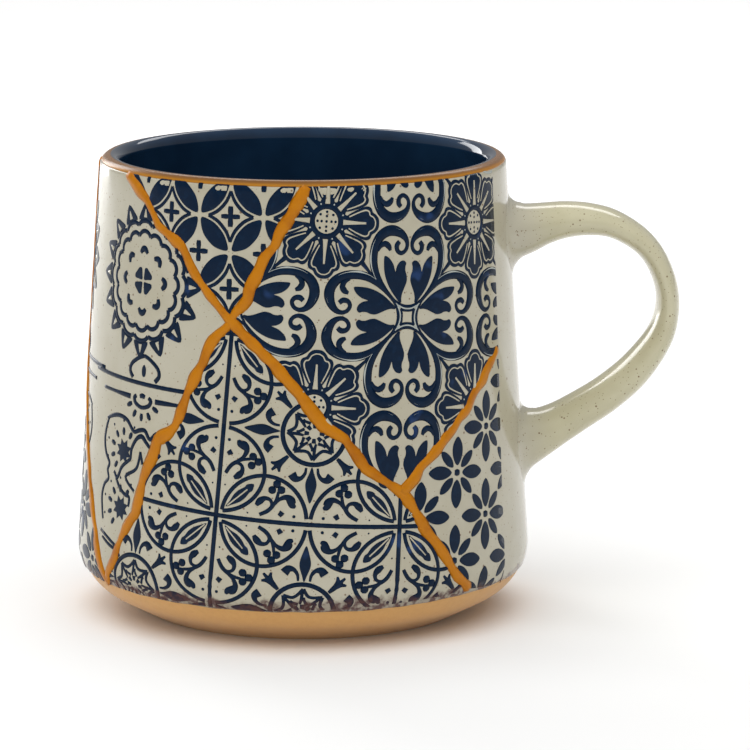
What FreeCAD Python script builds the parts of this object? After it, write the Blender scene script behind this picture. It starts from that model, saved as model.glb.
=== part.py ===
import FreeCAD, Part
import math
import os
import Sketcher
from FreeCAD import Vector

# A glazed stoneware mug, modelled in the layers it is made of: a thrown clay body, a pulled
# handle luted on with two pads of slip, four glaze coats, printed pattern transfers, and
# raised ochre lines trailed over the joins between the patterns.
# Base on Z = 0, axis on Z, handle towards +X, front towards -Y.  All sizes in millimetres.

SIZES = [
    ("overall_height", 100.0),
    ("rim_radius", 44.1),
    ("widest_radius", 49.35),
    ("foot_inset", 14.45),
    ("foot_ring_width", 4.5),
    ("foot_recess", 1.0),
    ("underside_angle", 28.0),
    ("belly_blend", 11.8),
    ("wall_thickness", 3.8),
    ("floor_thickness", 6.0),
    ("inner_corner", 11.0),
    ("glaze_thickness", 0.4),
    ("glaze_line_height", 8.8),
    ("rim_band_height", 0.9),
    ("handle_reach", 82.0),
    ("upper_root_height", 82.4),
    ("lower_root_height", 36.4),
    ("handle_thickness", 5.2),
    ("handle_width", 15.0),
    ("slip_thickness", 0.8),
    ("line_width", 2.2),
    ("line_height", 0.5),
    ("transfer_thickness", 0.2),
    ("pattern_end_angle", 64.0),
]

doc = FreeCAD.newDocument("stoneware_mug")
sheet = doc.addObject("Spreadsheet::Sheet", "Dimensions")
for row, (alias, value) in enumerate(SIZES, start=1):
    sheet.set("A%d" % row, alias)
    sheet.set("B%d" % row, str(value))
    sheet.setAlias("B%d" % row, alias)
doc.recompute()


def size(alias):
    """The value of one driving dimension."""
    return float(getattr(sheet, alias))


def on_circle(centre, radius, angle):
    """The point of a circle at an angle, as (radius from the mug's axis, height)."""
    return (centre[0] + radius * math.cos(angle), centre[1] + radius * math.sin(angle))


def foot_radius():
    """Outer radius of the foot ring; the foot is turned in from the widest radius."""
    return size("widest_radius") - size("foot_inset")


def solve_wall():
    """Centres and angles of the clay wall: a straight cone tangent to the belly and the lip."""
    glaze = size("glaze_thickness")
    blend = size("belly_blend")
    half_wall = size("wall_thickness") / 2
    rise = math.radians(size("underside_angle"))
    widest = size("widest_radius") - glaze
    rim = size("rim_radius") - glaze
    lip_height = size("overall_height") - glaze - half_wall
    lean = 0.06
    for _ in range(40):
        run = (widest - foot_radius() - blend * (math.cos(lean) - math.sin(rise))) / math.cos(rise)
        belly_top = run * math.sin(rise) + blend * (math.cos(rise) + math.sin(lean))
        lean = math.atan2(widest - rim, lip_height + half_wall * math.sin(lean) - belly_top)
    lip = (rim - half_wall * math.cos(lean), lip_height)
    corner = size("inner_corner")
    corner_height = size("floor_thickness") + corner
    inner_reach = lip[0] * math.cos(lean) + lip[1] * math.sin(lean) - half_wall - corner
    return {
        "lean": lean,
        "rise": rise,
        "belly": (widest - blend * math.cos(lean), belly_top - blend * math.sin(lean)),
        "lip": lip,
        "corner": ((inner_reach - corner_height * math.sin(lean)) / math.cos(lean), corner_height),
    }


wall = solve_wall()


def segment(start, end):
    """A straight sketch line."""
    return Part.LineSegment(Vector(start[0], start[1], 0), Vector(end[0], end[1], 0))


def arc(centre, radius, first, last):
    """A sketch arc running anticlockwise between two angles."""
    circle = Part.Circle(Vector(centre[0], centre[1], 0), Vector(0, 0, 1), radius)
    return Part.ArcOfCircle(circle, first, last)


def clay_outline():
    """The clay's half section: under the foot, up the outside, over the lip, down to the floor."""
    lean = wall["lean"]
    blend = size("belly_blend")
    half_wall = size("wall_thickness") / 2
    corner = size("inner_corner")
    recess = size("foot_recess")
    floor = size("floor_thickness")
    foot = foot_radius()
    ring = foot - size("foot_ring_width")
    glaze_line = math.asin((size("glaze_line_height") - wall["belly"][1]) / blend)
    band_edge = math.asin(1 - size("rim_band_height") / half_wall)
    underside_end = on_circle(wall["belly"], blend, wall["rise"] - math.pi / 2)
    belly_top = on_circle(wall["belly"], blend, lean)
    lip_outer = on_circle(wall["lip"], half_wall, lean)
    lip_back = on_circle(wall["lip"], half_wall, lean + math.pi)
    inside_end = on_circle(wall["corner"], corner, lean)
    return [
        ("axis", segment((0, floor), (0, recess))),
        ("recess_top", segment((0, recess), (ring - recess, recess))),
        ("recess_side", segment((ring - recess, recess), (ring, 0))),
        ("ring", segment((ring, 0), (foot, 0))),
        ("underside", segment((foot, 0), underside_end)),
        ("belly_low", arc(wall["belly"], blend, wall["rise"] - math.pi / 2, glaze_line)),
        ("belly_high", arc(wall["belly"], blend, glaze_line, lean)),
        ("outside", segment(belly_top, lip_outer)),
        ("lip_low", arc(wall["lip"], half_wall, lean, band_edge)),
        ("lip_band", arc(wall["lip"], half_wall, band_edge, math.pi / 2)),
        ("lip_inner", arc(wall["lip"], half_wall, math.pi / 2, math.pi + lean)),
        ("inside", segment(lip_back, inside_end)),
        ("corner", arc(wall["corner"], corner, -math.pi / 2, lean)),
        ("floor", segment((wall["corner"][0], floor), (0, floor))),
    ]


SMOOTH_AFTER = ("underside", "belly_high", "outside", "lip_inner", "inside", "corner")


def ends(name):
    """A piece's first and last vertex numbers; the corner arc runs against the outline."""
    return (2, 1) if name == "corner" else (1, 2)


def constrain(sketch, *terms):
    """Add one geometric constraint."""
    sketch.addConstraint(Sketcher.Constraint(*terms))


def dimension(sketch, kind, places, expression):
    """Add one dimension at its drawn value and drive it from the sheet."""
    if kind == "Radius":
        drawn = sketch.Geometry[places[0]].Radius
    elif kind == "Angle":
        drawn = wall["rise"]
    else:
        gap = sketch.getPoint(*places[2:]) - sketch.getPoint(*places[:2])
        drawn = gap.x if kind == "DistanceX" else gap.y
    number = sketch.addConstraint(Sketcher.Constraint(kind, *places, drawn))
    sketch.setExpression("Constraints[%d]" % number, expression)


def bound(text):
    """Name the sheet in front of each dimension of an expression."""
    return " ".join("Dimensions." + word if "_" in word else word for word in text.split())


def draw_clay(sketch, solid_pieces):
    """Draw the clay's half section; pieces that are not wanted solid become construction lines."""
    number = {}
    outline = clay_outline()
    for name, shape in outline:
        number[name] = sketch.addGeometry(shape, name not in solid_pieces)
    names = [name for name, _ in outline]
    for name, following in zip(names, names[1:] + names[:1]):
        kind = "Tangent" if name in SMOOTH_AFTER else "Coincident"
        constrain(sketch, kind, number[name], ends(name)[1], number[following], ends(following)[0])
    for name in ("recess_top", "ring", "floor"):
        constrain(sketch, "Horizontal", number[name])
    constrain(sketch, "PointOnObject", number["axis"], 1, -2)
    constrain(sketch, "PointOnObject", number["axis"], 2, -2)
    constrain(sketch, "PointOnObject", number["ring"], 1, -1)
    constrain(sketch, "Coincident", number["belly_low"], 3, number["belly_high"], 3)
    constrain(sketch, "Coincident", number["lip_low"], 3, number["lip_band"], 3)
    constrain(sketch, "Coincident", number["lip_low"], 3, number["lip_inner"], 3)
    constrain(sketch, "Parallel", number["outside"], number["inside"])
    constrain(sketch, "Vertical", number["lip_band"], 3, number["lip_band"], 2)
    for kind, places, text in [
        ("DistanceY", (-1, 1, number["axis"], 1), "floor_thickness"),
        ("DistanceY", (-1, 1, number["axis"], 2), "foot_recess"),
        ("DistanceX", (number["recess_side"], 1, number["recess_side"], 2), "foot_recess"),
        ("DistanceX", (number["ring"], 1, number["ring"], 2), "foot_ring_width"),
        ("DistanceX", (-1, 1, number["underside"], 1), "widest_radius - foot_inset"),
        ("DistanceX", (-1, 1, number["belly_high"], 2), "widest_radius - glaze_thickness"),
        ("DistanceY", (-1, 1, number["belly_low"], 2), "glaze_line_height"),
        ("DistanceX", (-1, 1, number["outside"], 2), "rim_radius - glaze_thickness"),
        ("DistanceY", (-1, 1, number["lip_low"], 3), "overall_height - glaze_thickness - wall_thickness / 2"),
        ("DistanceY", (-1, 1, number["lip_low"], 2), "overall_height - glaze_thickness - rim_band_height"),
        ("Radius", (number["belly_high"],), "belly_blend"),
        ("Radius", (number["lip_low"],), "wall_thickness / 2"),
        ("Radius", (number["corner"],), "inner_corner"),
        ("Angle", (number["underside"],), "underside_angle * 1 deg"),
    ]:
        dimension(sketch, kind, places, bound(text))
    return number


def draw_coat(sketch, number, names, thickness):
    """Draw a coat of even thickness outside consecutive pieces of the clay outline."""
    depth = size(thickness)
    pieces = dict(clay_outline())
    coats = []
    for name in names:
        shape = pieces[name]
        if isinstance(shape, Part.ArcOfCircle):
            grow = -depth if name == "corner" else depth
            centre = (shape.Center.x, shape.Center.y)
            coat = arc(centre, shape.Radius + grow, shape.FirstParameter, shape.LastParameter)
        else:
            along = (shape.EndPoint - shape.StartPoint).normalize()
            away = Vector(along.y, -along.x, 0) * depth
            coat = Part.LineSegment(shape.StartPoint + away, shape.EndPoint + away)
        coats.append(sketch.addGeometry(coat, False))
    for place, (name, coat) in enumerate(zip(names, coats)):
        if isinstance(pieces[name], Part.ArcOfCircle):
            constrain(sketch, "Coincident", coat, 3, number[name], 3)
            if place == 0:
                radius = "belly_blend" if name == "belly_high" else "wall_thickness / 2"
                dimension(sketch, "Radius", (coat,), bound(radius + " + " + thickness))
        else:
            constrain(sketch, "Parallel", coat, number[name])
        if place:
            before = names[place - 1]
            kind = "Tangent" if before in SMOOTH_AFTER else "Coincident"
            constrain(sketch, kind, coats[place - 1], ends(before)[1], coat, ends(name)[0])
    close_coat(sketch, number[names[0]], coats[0], names[0], 0)
    close_coat(sketch, number[names[-1]], coats[-1], names[-1], 1)


def close_coat(sketch, clay, coat, name, which):
    """Close one end of a coat square to the clay."""
    inner = sketch.getPoint(clay, ends(name)[which])
    outer = sketch.getPoint(coat, ends(name)[which])
    cap = sketch.addGeometry(segment((inner.x, inner.y), (outer.x, outer.y)), False)
    constrain(sketch, "Coincident", cap, 1, clay, ends(name)[which])
    constrain(sketch, "Coincident", cap, 2, coat, ends(name)[which])
    if isinstance(sketch.Geometry[clay], Part.ArcOfCircle):
        constrain(sketch, "PointOnObject", clay, 3, cap)
    else:
        constrain(sketch, "Perpendicular", cap, clay)


def turned_body(name, pieces, thickness=None):
    """A body of revolution: the clay itself, or a coat over some pieces of its outline."""
    body = doc.addObject("PartDesign::Body", name)
    body.Label = name
    sketch = body.newObject("Sketcher::SketchObject", name + "_section")
    plane = next(item for item in body.Origin.OriginFeatures if item.Role == "XZ_Plane")
    sketch.AttachmentSupport = [(plane, "")]
    sketch.MapMode = "FlatFace"
    number = draw_clay(sketch, pieces)
    if thickness:
        draw_coat(sketch, number, pieces, thickness)
    doc.recompute()
    turning = body.newObject("PartDesign::Revolution", name + "_turning")
    turning.Profile = sketch
    turning.ReferenceAxis = (sketch, ["V_Axis"])
    turning.Angle = 360
    sketch.Visibility = False
    doc.recompute()
    return body


def combine(kind, name, shapes):
    """A Part boolean: a cut of two objects, or a common of several."""
    result = doc.addObject("Part::" + kind, name)
    result.Label = name
    if kind == "Cut":
        result.Base, result.Tool = shapes
    else:
        result.Shapes = shapes
    doc.recompute()
    return result


# The handle's sections from the upper root round to the lower one: how far out from the wall
# and how far up from the lower root as shares, then multiples of its thickness and width.
HANDLE_SECTIONS = [
    (-0.160, 1.000, 2.60, 1.17),
    (0.026, 1.008, 2.42, 1.13),
    (0.124, 1.026, 2.02, 1.06),
    (0.226, 1.046, 1.70, 1.02),
    (0.352, 1.063, 1.48, 1.00),
    (0.499, 1.065, 1.30, 1.00),
    (0.650, 1.043, 1.13, 1.00),
    (0.811, 0.974, 1.02, 1.00),
    (0.916, 0.885, 0.97, 1.00),
    (0.989, 0.757, 0.96, 1.00),
    (1.000, 0.633, 1.00, 1.00),
    (0.948, 0.500, 1.16, 1.00),
    (0.792, 0.346, 1.38, 1.00),
    (0.605, 0.230, 1.48, 1.00),
    (0.412, 0.143, 1.56, 1.00),
    (0.267, 0.083, 1.70, 1.02),
    (0.146, 0.041, 2.00, 1.06),
    (0.050, 0.015, 2.38, 1.13),
    (-0.150, -0.004, 2.66, 1.17),
]


def handle_directions():
    """Directions of the handle's centre line at its sections; both roots lie level."""
    tip = size("handle_reach") - size("handle_thickness") / 2
    low = size("lower_root_height")
    rise = size("upper_root_height") - low
    taper = (size("rim_radius") - size("widest_radius")) / size("overall_height")
    points = []
    for out, up, _, _ in HANDLE_SECTIONS:
        wall_side = size("widest_radius") + taper * (low + rise * up)
        points.append(Vector(wall_side + (tip - wall_side) * out, 0, low + rise * up))
    curve = Part.BSplineCurve()
    curve.interpolate(points)
    directions = [curve.tangent(curve.parameter(point))[0] for point in points]
    directions[0] = Vector(1, 0, 0)
    directions[-1] = Vector(-1, 0, 0)
    return directions


def handle_loft(name, skin):
    """Ellipses square to the handle's centre line, lofted; the skin is added all round."""
    sections = []
    for place, (direction, section) in enumerate(zip(handle_directions(), HANDLE_SECTIONS)):
        out, up, thick, wide = section
        ellipse = doc.addObject("Part::Ellipse", "%s_section_%d" % (name, place))
        across = direction.cross(Vector(0, 1, 0))
        ellipse.Placement.Rotation = FreeCAD.Rotation(Vector(0, 1, 0), across, direction)
        height = "( lower_root_height + ( upper_root_height - lower_root_height ) * %.3f )" % up
        wall_side = "( widest_radius + ( rim_radius - widest_radius ) * %s / overall_height )" % height
        tip = "( handle_reach - handle_thickness / 2 )"
        reach = "%s * %.3f + %s * %.3f" % (tip, out, wall_side, 1 - out)
        ellipse.setExpression(".Placement.Base.x", bound(reach))
        ellipse.setExpression(".Placement.Base.z", bound(height))
        ellipse.setExpression("MajorRadius", bound("handle_width * %.3f / 2 %s" % (wide, skin)))
        ellipse.setExpression("MinorRadius", bound("handle_thickness * %.3f / 2 %s" % (thick, skin)))
        sections.append(ellipse)
    loft = doc.addObject("Part::Loft", name)
    loft.Sections = sections
    loft.Solid = True
    loft.Ruled = False
    doc.recompute()
    return loft


def cup_core():
    """A cone that fills the cup out to the middle of its wall."""
    lean = wall["lean"]
    low = wall["corner"][1]
    core = doc.addObject("Part::Cone", "cup_core")
    core.Height = wall["lip"][1] - low
    core.Radius1 = wall["lip"][0] + (wall["lip"][1] - low) * math.tan(lean)
    core.Radius2 = wall["lip"][0]
    core.Placement.Base.z = low
    return core


def half_space(name, low, high):
    """A block round the handle's side of the mug between two heights."""
    block = doc.addObject("Part::Box", name)
    block.Length = size("handle_reach")
    block.Width = size("handle_width") * 2
    block.Height = high - low
    block.Placement.Base = Vector(0, -size("handle_width"), low)
    return block


every_piece = [name for name, _ in clay_outline()]
clay_body = turned_body("clay_body", every_piece)
inner_glaze = turned_body("inner_glaze", ["lip_inner", "inside", "corner", "floor"], "glaze_thickness")
rim_band = turned_body("rim_band", ["lip_band"], "glaze_thickness")
outside_coat = turned_body("outside_coat", ["belly_high", "outside", "lip_low"], "glaze_thickness")
slip_zone = turned_body("slip_zone", ["belly_high", "outside"], "slip_thickness")

core = cup_core()
glazed_handle = combine("Cut", "glazed_handle", [handle_loft("glazed_loft", ""), core])
bare_handle = combine("Cut", "bare_handle", [handle_loft("bare_loft", "- glaze_thickness"), core])
middle = (size("upper_root_height") + size("lower_root_height")) / 2
upper_half = half_space("upper_half", middle, size("overall_height"))
lower_half = half_space("lower_half", 0, middle)

outer_glaze = combine("Cut", "outer_glaze", [outside_coat, glazed_handle])
handle_outside_wall = combine("Cut", "handle_outside_wall", [bare_handle, clay_body])
handle = combine("Cut", "handle", [handle_outside_wall, slip_zone])
upper_slip_joint = combine("MultiCommon", "upper_slip_joint", [bare_handle, slip_zone, upper_half])
lower_slip_joint = combine("MultiCommon", "lower_slip_joint", [bare_handle, slip_zone, lower_half])
glaze_sleeve = combine("Cut", "glaze_sleeve", [glazed_handle, bare_handle])
handle_glaze = combine("Cut", "handle_glaze", [glaze_sleeve, clay_body])
nodes = [clay_body, inner_glaze, rim_band, outer_glaze]
nodes += [handle, upper_slip_joint, lower_slip_joint, handle_glaze]


# The raised lines, each as (degrees round from the front, height) along its middle.  Heights are
# for a mug 100 tall glazed down to 8.8; they stretch between the glaze line and the rim.
DRAWN_LOW = 8.8
DRAWN_HIGH = 100.0
LONG_LINE = [(-58, 99), (-48, 94), (-43, 89), (-35, 85.5), (-30, 79.5), (-19.5, 70.3), (-12, 65),
             (-8, 62), (-1, 55.5), (5, 48.8), (10.5, 46), (16, 39.5), (26, 33.5), (33, 24.5),
             (42, 14), (49, 8)]
UPPER_LINE = [(1, 99), (-6, 89.5), (-10, 84), (-14, 78), (-15, 75.5), (-19.5, 70.3)]
LOWER_LINE = [(-19.5, 70.3), (-24, 66), (-28, 60), (-32, 52.5), (-35, 47), (-40, 43.5), (-45, 35),
              (-48, 27), (-53, 21), (-57, 14), (-61, 8)]
BRANCH_LINE = [(26, 33.5), (31, 38.5), (38, 43), (44, 47), (53, 54), (63.5, 60.5)]
SIDE_LINE = [(-60, 8), (-63, 14), (-67, 21), (-76, 36), (-90.5, 60.5), (-90, 99)]
BACK_TURN = -154
MID_RADIUS = 47.0


def flat(degrees, height):
    """A place on the wall laid out flat: millimetres round from the front, and height."""
    return Vector(math.radians(degrees) * MID_RADIUS, height, 0)


def drawn(degrees, height):
    """A drawn place laid out flat, its height stretched between the glaze line and the rim."""
    share = (height - DRAWN_LOW) / (DRAWN_HIGH - DRAWN_LOW)
    low = size("glaze_line_height")
    return flat(degrees, low + share * (size("overall_height") - low))


def flat_face(corners):
    """A flat face with straight edges."""
    return Part.Face(Part.makePolygon(corners + corners[:1]))


def flat_line(places, turn):
    """A raised line laid out flat: an even band along its middle."""
    middle = [drawn(degrees + turn, height) for degrees, height in places]
    left, right = [], []
    for place, point in enumerate(middle):
        along = middle[min(place + 1, len(middle) - 1)] - middle[max(place - 1, 0)]
        side = Vector(-along.y, along.x, 0).normalize() * (size("line_width") / 2)
        left.append(point + side)
        right.append(point - side)
    return flat_face(left + right[::-1])


def wall_surfaces():
    """The glazed wall above and below the belly's end, with functions from height to surface place."""
    coat = size("glaze_thickness")
    lean = wall["lean"]
    bend = size("belly_blend") + coat
    join = on_circle(wall["belly"], bend, lean)
    cone = Part.Cone()
    cone.Center = Vector(0, 0, join[1])
    cone.Radius = join[0]
    cone.SemiAngle = -lean
    belly = Part.Toroid()
    belly.Center = Vector(0, 0, wall["belly"][1])
    belly.MajorRadius = wall["belly"][0]
    belly.MinorRadius = bend
    straight = (cone, lambda height: (height - join[1]) / math.cos(lean))
    curved = (belly, lambda height: math.asin(max(-1.0, min(1.0, (height - wall["belly"][1]) / bend))))
    return join[1], straight, curved


def wrap(face, surface, place_at, thickness):
    """Lay a flat face on the wall and thicken it outwards."""
    corners = [vertex.Point for vertex in face.OuterWire.OrderedVertexes]
    places = []
    for corner in corners:
        around = corner.x / MID_RADIUS + math.radians(270)
        places.append(FreeCAD.Base.Vector2d(around, place_at(corner.y)))
    edges = []
    for start, end in zip(places, places[1:] + places[:1]):
        edges.append(Part.Geom2d.Line2dSegment(start, end).toShape(surface))
    skin = Part.Face(surface, Part.Wire(edges))
    shape = skin.makeOffsetShape(thickness, 1e-5, fill=True)
    return Part.Solid(shape.Shells[0])


def wrapped(name, face, thickness):
    """A named thin piece lying on the glazed wall."""
    join, straight, curved = wall_surfaces()
    wide = math.radians(400) * MID_RADIUS
    above = Part.makePlane(2 * wide, 200, Vector(-wide, join, 0))
    below = Part.makePlane(2 * wide, join, Vector(-wide, 0, 0))
    solids = [wrap(part, straight[0], straight[1], thickness) for part in face.common(above).Faces]
    solids += [wrap(part, curved[0], curved[1], thickness) for part in face.common(below).Faces]
    shape = solids[0].multiFuse(solids[1:]) if len(solids) > 1 else solids[0]
    piece = doc.addObject("Part::Feature", name)
    piece.Label = name
    piece.Shape = shape.Solids[0]
    piece.Placement = FreeCAD.Placement()
    return piece


def decorated_area():
    """The flat outline of the whole printed area, from the handle's left round to its right."""
    right = size("pattern_end_angle")
    left = -180 - right
    low = size("glaze_line_height") + 0.5
    lip_radius = size("wall_thickness") / 2 + size("glaze_thickness")
    high = on_circle(wall["lip"], lip_radius, wall["lean"])[1] - 0.05
    return flat_face([flat(left, low), flat(right, low), flat(right, high), flat(left, high)])


area = decorated_area()
bands = {}
for side, turn, side_line in (("front", 0, SIDE_LINE), ("back", BACK_TURN, SIDE_LINE[:-1])):
    bands[side + "_long_line"] = flat_line(LONG_LINE, turn)
    bands[side + "_upper_line"] = flat_line(UPPER_LINE, turn)
    bands[side + "_lower_line"] = flat_line(LOWER_LINE, turn)
    bands[side + "_branch_line"] = flat_line(BRANCH_LINE, turn)
    bands[side + "_side_line"] = flat_line(side_line, turn)

laid = []
for name, band in bands.items():
    free = band.common(area)
    for earlier in laid:
        free = free.cut(earlier)
    band = max(free.Faces, key=lambda face: face.Area)
    laid.append(band)
    nodes.append(wrapped(name, band, size("line_height")))

# One place inside each printed transfer, given the same way as the raised lines.
TRANSFER_PLACES = {
    "front_lattice_transfer": (-22, 88),
    "front_tulip_transfer": (28, 70),
    "front_vine_transfer": (0, 28),
    "front_rosette_transfer": (-55, 70),
    "front_petal_transfer": (52, 35),
    "side_petal_transfer": (-85, 25),
    "back_lattice_transfer": (-176, 88),
    "back_tulip_transfer": (-126, 70),
    "back_vine_transfer": (-154, 28),
    "back_rosette_transfer": (-209, 70),
    "back_petal_transfer": (-236, 25),
}
ground = area
for band in laid:
    ground = ground.cut(band)
for name, (degrees, height) in TRANSFER_PLACES.items():
    spot = drawn(degrees, height)
    face = next(part for part in ground.Faces if part.isInside(spot, 1e-6, True))
    nodes.append(wrapped(name, face, size("transfer_thickness")))
doc.recompute()

for item in doc.Objects:
    if "Invalid" in item.State or "Error" in item.State:
        raise RuntimeError(item.Label + " did not build")
os.makedirs("parts", exist_ok=True)
for node in nodes:
    if node.Shape.isNull() or not node.Shape.isValid() or len(node.Shape.Solids) != 1:
        raise RuntimeError(node.Label + " has no valid shape")
    node.Shape.exportStep(os.path.join("parts", node.Label + ".step"))
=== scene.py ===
import math

import bmesh
import bpy
from mathutils import Matrix, Vector, noise


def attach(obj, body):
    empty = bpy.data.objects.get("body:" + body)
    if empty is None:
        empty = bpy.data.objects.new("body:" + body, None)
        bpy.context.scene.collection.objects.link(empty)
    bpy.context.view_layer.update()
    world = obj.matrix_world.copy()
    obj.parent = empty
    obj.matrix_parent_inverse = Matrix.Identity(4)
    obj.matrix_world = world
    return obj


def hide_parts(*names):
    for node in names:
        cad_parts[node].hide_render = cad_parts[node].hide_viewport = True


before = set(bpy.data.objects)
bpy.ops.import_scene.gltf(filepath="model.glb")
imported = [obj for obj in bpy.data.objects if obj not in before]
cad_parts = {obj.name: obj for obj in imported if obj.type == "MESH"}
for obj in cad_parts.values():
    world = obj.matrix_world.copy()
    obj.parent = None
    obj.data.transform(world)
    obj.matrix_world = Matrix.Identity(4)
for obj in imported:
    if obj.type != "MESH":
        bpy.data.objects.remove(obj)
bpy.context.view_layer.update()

# Clay. The pot is turned on the wheel in a tan stoneware, and the strap handle is luted on with
# slip. All of it is glazed over except the foot, which stands bare.
CLAY = (0.64, 0.345, 0.10, 1)
CLAY_DARK = (0.60, 0.31, 0.085, 1)


class Term:
    """One value of a material; Python arithmetic on it adds Math nodes."""

    def __init__(self, shader, socket):
        self.shader = shader
        self.socket = socket

    def math(self, operation, *others):
        return self.shader.node("ShaderNodeMath", {"operation": operation}, self, *others)

    def __add__(self, other):
        return self.math("ADD", other)

    def __sub__(self, other):
        return self.math("SUBTRACT", other)

    def __rsub__(self, other):
        return self.shader.node("ShaderNodeMath", {"operation": "SUBTRACT"}, other, self)

    def __mul__(self, other):
        return self.math("MULTIPLY", other)

    __radd__ = __add__
    __rmul__ = __mul__

    def between(self, low, high):
        """0 below low, 1 above high, smooth in between."""
        settings = {"interpolation_type": "SMOOTHSTEP"}
        return self.shader.node("ShaderNodeMapRange", settings, self, low, high, 0.0, 1.0)


class Shader:
    """A material with one Principled surface."""

    def __init__(self, name, **fixed):
        self.material = bpy.data.materials.new(name)
        self.material.use_nodes = True
        self.tree = self.material.node_tree
        self.surface = self.tree.nodes["Principled BSDF"]
        self.set(**fixed)
        self.place = self.node("ShaderNodeTexCoord", {}, output="Object")

    def node(self, kind, settings, *inputs, output=0):
        """Add a node; inputs are values, terms, or None to leave one alone."""
        new = self.tree.nodes.new(kind)
        for key, value in settings.items():
            setattr(new, key, value)
        for slot, value in zip(new.inputs, inputs):
            self.feed(slot, value)
        return Term(self, new.outputs[output])

    def feed(self, slot, value):
        if isinstance(value, Term):
            self.tree.links.new(value.socket, slot)
        elif value is not None:
            slot.default_value = value

    def set(self, **sockets):
        for name, value in sockets.items():
            self.feed(self.surface.inputs[name.replace("_", " ")], value)

    def noise(self, scale, detail=2.0, rough=0.5):
        """Soft noise from 0 to 1 over the object, scale in waves to the metre."""
        return self.node("ShaderNodeTexNoise", {}, self.place, None, scale, detail, rough)

    def dots(self, scale):
        """Distance from scattered points, in cells; scale in cells to the metre."""
        return self.node("ShaderNodeTexVoronoi", {}, self.place, None, scale)

    def mix(self, share, first, second):
        """A colour between two colours."""
        mixer = self.tree.nodes.new("ShaderNodeMix")
        mixer.data_type = "RGBA"
        for slot, value in zip((mixer.inputs[0], mixer.inputs[6], mixer.inputs[7]), (share, first, second)):
            self.feed(slot, value)
        return Term(self, mixer.outputs[2])

    def bump(self, height, depth, strength=1.0):
        """Relief from a height, depth in metres."""
        return self.node("ShaderNodeBump", {}, strength, depth, None, height)


clay = Shader("bare_clay", Roughness=0.5, IOR=1.5, Sheen_Weight=0.2)
grain = clay.noise(900.0, 4.0, 0.7)
clay.set(Base_Color=clay.mix(grain.between(0.35, 0.75), CLAY, CLAY_DARK))
clay.set(Normal=clay.bump(grain, 0.00006, 0.5))
for name in ("clay_body", "handle", "upper_slip_joint", "lower_slip_joint"):
    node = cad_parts[name]
    node.data.materials.clear()
    node.data.materials.append(clay.material)

# Cream glaze over the outside. It stops in an uneven line above the foot, where it runs thin over
# the edge and breaks to iron brown; fine brown specks show through it everywhere.
# The wall's outline, in mm, is a straight cone between a round belly and a round lip.
MM = 0.001
BELLY = (37.174, 14.573)
BELLY_BEND = 12.2
LIP = (41.804, 97.7)
LIP_BEND = 2.3
LEAN = 0.06355
LOWEST_GLAZE = 8.65
EVEN_GLAZE = 17.0
GLAZE_THICK = 0.38
CREAM = (0.44, 0.405, 0.30, 1)
PALE_CREAM = (0.49, 0.46, 0.36, 1)
SPECK = (0.13, 0.055, 0.018, 1)
BREAKING = (0.085, 0.038, 0.034, 1)


def outline(height):
    """Radius of the glazed wall at a height, and the outward direction there, in mm."""
    join = BELLY[1] + BELLY_BEND * math.sin(LEAN)
    top = LIP[1] + LIP_BEND * math.sin(LEAN)
    if height < join:
        turn = math.asin(max(-1.0, (height - BELLY[1]) / BELLY_BEND))
        return BELLY[0] + BELLY_BEND * math.cos(turn), turn
    if height > top:
        turn = math.asin(min(1.0, (height - LIP[1]) / LIP_BEND))
        return LIP[0] + LIP_BEND * math.cos(turn), turn
    return BELLY[0] + BELLY_BEND * math.cos(LEAN) - (height - join) * math.tan(LEAN), LEAN


def on_wall(degrees, height, out=0.0):
    """A point on the glazed wall, in metres: degrees round from the front, height and mm outwards."""
    radius, turn = outline(height)
    radius += out * math.cos(turn)
    around = math.radians(degrees - 90)
    return Vector((radius * math.cos(around), radius * math.sin(around), height + out * math.sin(turn))) * MM


def glaze_line(degrees):
    """Height of the glaze's lower edge round the foot, in mm."""
    around = math.radians(degrees)
    rise = 0.9 - 0.8 * math.cos(around * 1.7 + 0.15)
    ragged = noise.noise(Vector((math.cos(around) * 9, math.sin(around) * 9, 0.3)))
    return 8.75 + rise + 0.25 * ragged


def outward(bm):
    """Turn the faces of every closed shell outwards, by the sign of its volume."""
    bmesh.ops.recalc_face_normals(bm, faces=bm.faces)
    left = set(bm.faces)
    wrong = []
    for first in bm.faces:
        if first not in left:
            continue
        left.remove(first)
        shell = []
        found = [first]
        while found:
            face = found.pop()
            shell.append(face)
            for edge in face.edges:
                for other in edge.link_faces:
                    if other in left:
                        left.remove(other)
                        found.append(other)
        start = first.calc_center_median()
        volume = sum((face.calc_center_median() - start).dot(face.normal) * face.calc_area()
                     for face in shell)
        if volume < 0:
            wrong += shell
    bmesh.ops.reverse_faces(bm, faces=wrong)


def spun(outline_points, steps=240):
    """A closed turned piece from its half section, given as (radius, height) in mm."""
    bm = bmesh.new()
    corners = [bm.verts.new((radius * MM, 0, height * MM)) for radius, height in outline_points]
    edges = [bm.edges.new(pair) for pair in zip(corners, corners[1:] + corners[:1])]
    bmesh.ops.spin(bm, geom=corners + edges, cent=(0, 0, 0), axis=(0, 0, 1), angle=2 * math.pi,
                   steps=steps, use_merge=True)
    bmesh.ops.remove_doubles(bm, verts=bm.verts, dist=1e-7)
    bmesh.ops.delete(bm, geom=[edge for edge in bm.edges if edge.is_wire], context="EDGES")
    outward(bm)
    return bm


def finished(name, bm, material, *nodes):
    """Make a piece of the mug from a bmesh and let it stand for CAD nodes."""
    mesh = bpy.data.meshes.new(name)
    bm.to_mesh(mesh)
    bm.free()
    for polygon in mesh.polygons:
        polygon.use_smooth = True
    mesh.materials.append(material)
    piece = bpy.data.objects.new(name, mesh)
    bpy.context.scene.collection.objects.link(piece)
    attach(piece, "root")
    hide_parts(*nodes)
    return piece


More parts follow.
